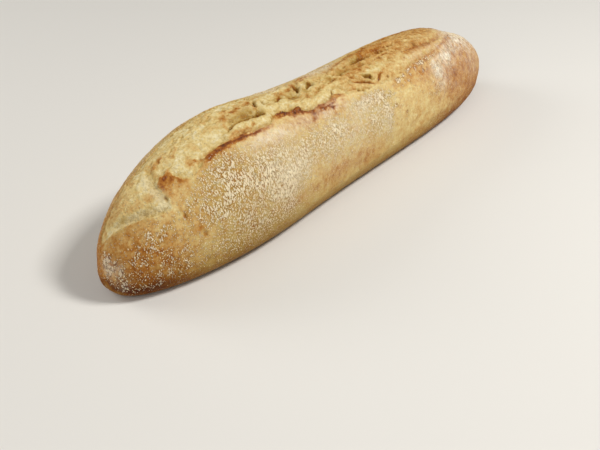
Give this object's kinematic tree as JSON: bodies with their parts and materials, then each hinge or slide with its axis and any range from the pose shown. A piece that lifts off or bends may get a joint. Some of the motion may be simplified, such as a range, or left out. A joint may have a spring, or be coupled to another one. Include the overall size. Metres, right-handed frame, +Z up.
{
  "type": "sourdough baguette",
  "caption": "Sourdough baguette: a long loaf with a flat base, blunt rounded ends, a torn, ridged score along the crown and a floured golden crust.",
  "frame": {"origin": "on the flat base, under the middle of the loaf's length and width", "axes": "+X along the loaf, away from the end with the short cut; +Z up from the base; -Y towards the side with the raised lip of crust"},
  "size_m": [0.37, 0.0849, 0.0775],
  "materials": {
    "crust": "matte golden-brown baked crust, floured"
  },
  "bodies": {
    "root": {"loaf": "crust"}
  },
  "joints": []
}
